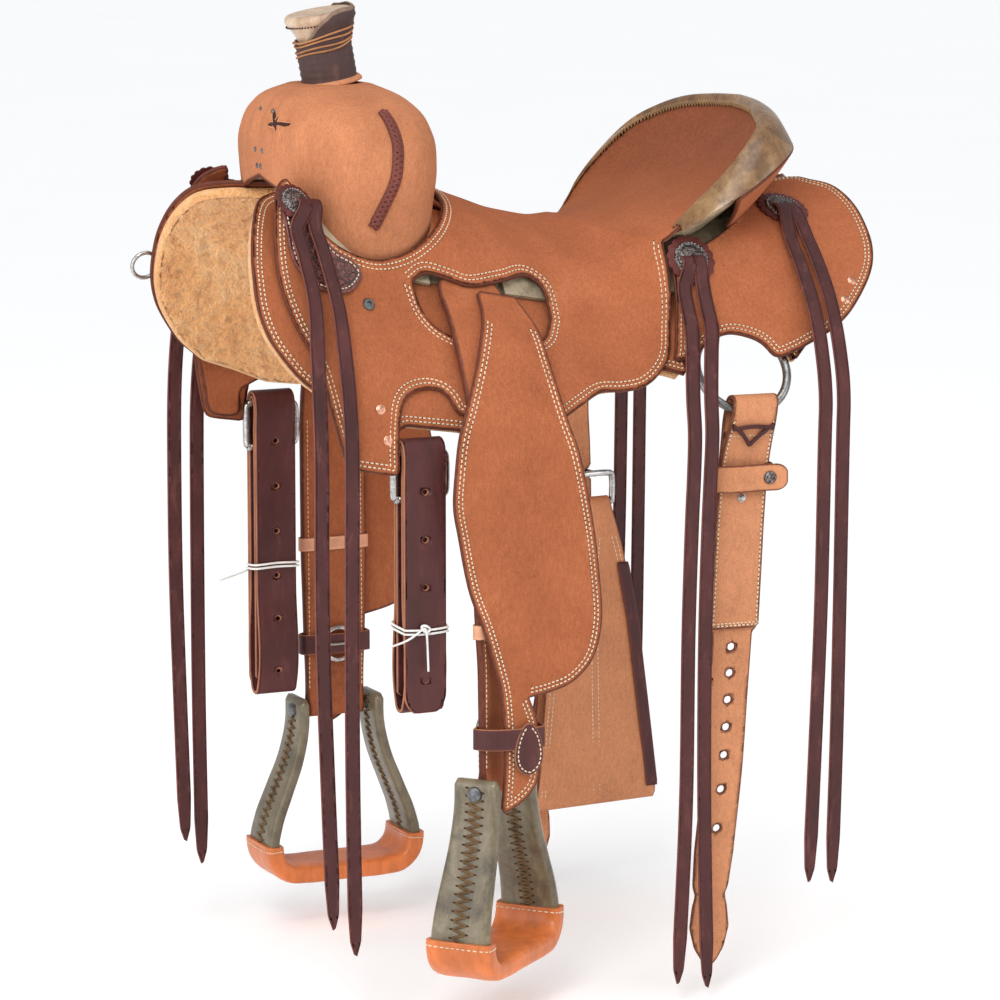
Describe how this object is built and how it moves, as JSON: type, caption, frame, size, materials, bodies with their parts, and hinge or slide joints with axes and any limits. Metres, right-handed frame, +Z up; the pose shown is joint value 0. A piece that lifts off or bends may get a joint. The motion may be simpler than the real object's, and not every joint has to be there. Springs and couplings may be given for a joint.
{
  "type": "western saddle",
  "caption": "Western ranch saddle cut down to its tree, seat and skirts, with hung leathers and stirrups, rigging, flank cinch and saddle strings.",
  "frame": {"origin": "middle plane of the saddle, where the back or stand that carries it lies under the middle of the bars", "axes": "+X to the horse's tail, -X to its head, -Y to the near (left) side, +Z up; the horn is towards -X"},
  "size_m": [0.7297, 0.5415, 1.0083],
  "materials": {
    "roughout": "matt rough-out suede, brown orange",
    "fleece": "woolly shearling",
    "rawhide": "braided and bound rawhide, satin",
    "rawhide_pale": "pale rawhide, satin",
    "wood": "raw wood under the leather",
    "burgundy": "smooth dark red-brown latigo leather",
    "tooled_brown": "tooled dark brown",
    "russet": "oiled orange-brown leather",
    "light_tan": "matt light tan",
    "steel": "stainless, satin",
    "dark_steel": "browned steel, satin"
  },
  "bodies": {
    "saddle": {"breast_dee": "steel", "cantle_back": "roughout", "cantle_binding": "rawhide", "fleece_left": "fleece", "fleece_right": "fleece", "fork_cover": "roughout", "front_concho_left": "dark_steel", "front_concho_right": "dark_steel", "front_keeper_left": "tooled_brown", "front_keeper_right": "tooled_brown", "ground_seat": "light_tan", "horn_cap": "rawhide_pale", "horn_post": "dark_steel", "horn_wrap": "burgundy", "rear_concho_left": "dark_steel", "rear_concho_right": "dark_steel", "rear_jockey_left": "roughout", "rear_jockey_right": "roughout", "rear_ring_left": "dark_steel", "rear_ring_right": "dark_steel", "seat": "roughout", "side_concho_left": "dark_steel", "side_concho_right": "dark_steel", "skirt_left": "roughout", "skirt_right": "roughout", "strap_bight_left": "russet", "strap_bight_right": "russet", "tree_bar_left": "wood", "tree_bar_right": "wood", "tree_cantle": "wood", "tree_fork": "wood"},
    "leg_left": {"fender_left": "roughout", "hobble_buckle_left": "steel", "hobble_strap_left": "burgundy", "stirrup_leather_left": "burgundy"},
    "stirrup_swing_left": {"stirrup_bolt_left": "dark_steel", "stirrup_left": "rawhide", "stirrup_tread_left": "russet"},
    "dee_left": {"front_dee_left": "steel", "latigo_left": "burgundy"},
    "leg_right": {"fender_right": "roughout", "hobble_buckle_right": "steel", "hobble_strap_right": "burgundy", "stirrup_leather_right": "burgundy"},
    "stirrup_swing_right": {"stirrup_bolt_right": "dark_steel", "stirrup_right": "rawhide", "stirrup_tread_right": "russet"},
    "dee_right": {"front_dee_right": "steel", "latigo_right": "burgundy"},
    "billet_left": {"billet_keeper": "light_tan", "rear_billet_left": "light_tan"},
    "billet_right": {"cinch_buckle": "steel", "rear_billet_right": "light_tan"},
    "cinch": {"flank_cinch": "light_tan"},
    "front_strings_left": {"front_string_left": "burgundy"},
    "front_strings_right": {"front_string_right": "burgundy"},
    "side_strings_left": {"side_string_left": "burgundy"},
    "side_strings_right": {"side_string_right": "burgundy"},
    "rear_strings_left": {"rear_string_left": "burgundy"},
    "rear_strings_right": {"rear_string_right": "burgundy"}
  },
  "joints": [
    {"name": "leg_swing_left", "type": "hinge", "parent": "saddle", "child": "leg_left", "pos_m": [-0.0943, -0.14561, 0.01835], "axis": [0, -0.764, 0.6453], "range_deg": [-3, 5]},
    {"name": "stirrup_swing_left", "type": "hinge", "parent": "leg_left", "child": "stirrup_swing_left", "pos_m": [-0.098, -0.20008, -0.468], "axis": [-0.766, -0.6428, 0], "range_deg": [-30, 18]},
    {"name": "dee_turn_left", "type": "hinge", "parent": "saddle", "child": "dee_left", "pos_m": [-0.2075, -0.19606, -0.12162], "axis": [0, 0, 1], "range_deg": [-3, 20]},
    {"name": "leg_swing_right", "type": "hinge", "parent": "saddle", "child": "leg_right", "pos_m": [-0.0896, 0.14595, 0.01747], "axis": [0, -0.764, -0.6453], "range_deg": [-2, 8]},
    {"name": "stirrup_swing_right", "type": "hinge", "parent": "leg_right", "child": "stirrup_swing_right", "pos_m": [-0.098, 0.21908, -0.468], "axis": [1, 0, 0], "range_deg": [-30, 30]},
    {"name": "dee_turn_right", "type": "hinge", "parent": "saddle", "child": "dee_right", "pos_m": [-0.2075, 0.19643, -0.12378], "axis": [0, 0, -1], "range_deg": [-3, 20]},
    {"name": "billet_swing_left", "type": "hinge", "parent": "saddle", "child": "billet_left", "pos_m": [0.18583, -0.22108, -0.09707], "axis": [-0.9959, 0.0906, 0], "range_deg": [-15, 2]},
    {"name": "billet_swing_right", "type": "hinge", "parent": "saddle", "child": "billet_right", "pos_m": [0.18641, 0.2147, -0.09707], "axis": [0.9959, 0.0906, 0], "range_deg": [-8, 1]},
    {"name": "cinch_swing", "type": "hinge", "parent": "billet_right", "child": "cinch", "pos_m": [0.21229, 0.20501, -0.2625], "axis": [-0.9959, -0.0906, 0], "range_deg": [0, 12]},
    {"name": "front_strings_swing_left", "type": "hinge", "parent": "saddle", "child": "front_strings_left", "pos_m": [-0.2832, -0.11464, 0.12521], "axis": [0, -1, 0], "range_deg": [-3, 2]},
    {"name": "front_strings_swing_right", "type": "hinge", "parent": "saddle", "child": "front_strings_right", "pos_m": [-0.2832, 0.11464, 0.12521], "axis": [0, -1, 0], "range_deg": [-3, 2]},
    {"name": "side_strings_swing_left", "type": "hinge", "parent": "saddle", "child": "side_strings_left", "pos_m": [0.118, -0.14045, 0.04209], "axis": [0, -1, 0], "range_deg": [-1, 1]},
    {"name": "side_strings_swing_right", "type": "hinge", "parent": "saddle", "child": "side_strings_right", "pos_m": [0.118, 0.14045, 0.04209], "axis": [0, -1, 0], "range_deg": [-1, 1]},
    {"name": "rear_strings_swing_left", "type": "hinge", "parent": "saddle", "child": "rear_strings_left", "pos_m": [0.2716, -0.08646, 0.09057], "axis": [0, -1, 0], "range_deg": [-2, 3]},
    {"name": "rear_strings_swing_right", "type": "hinge", "parent": "saddle", "child": "rear_strings_right", "pos_m": [0.2716, 0.08646, 0.09057], "axis": [0, -1, 0], "range_deg": [-2, 3]}
  ]
}
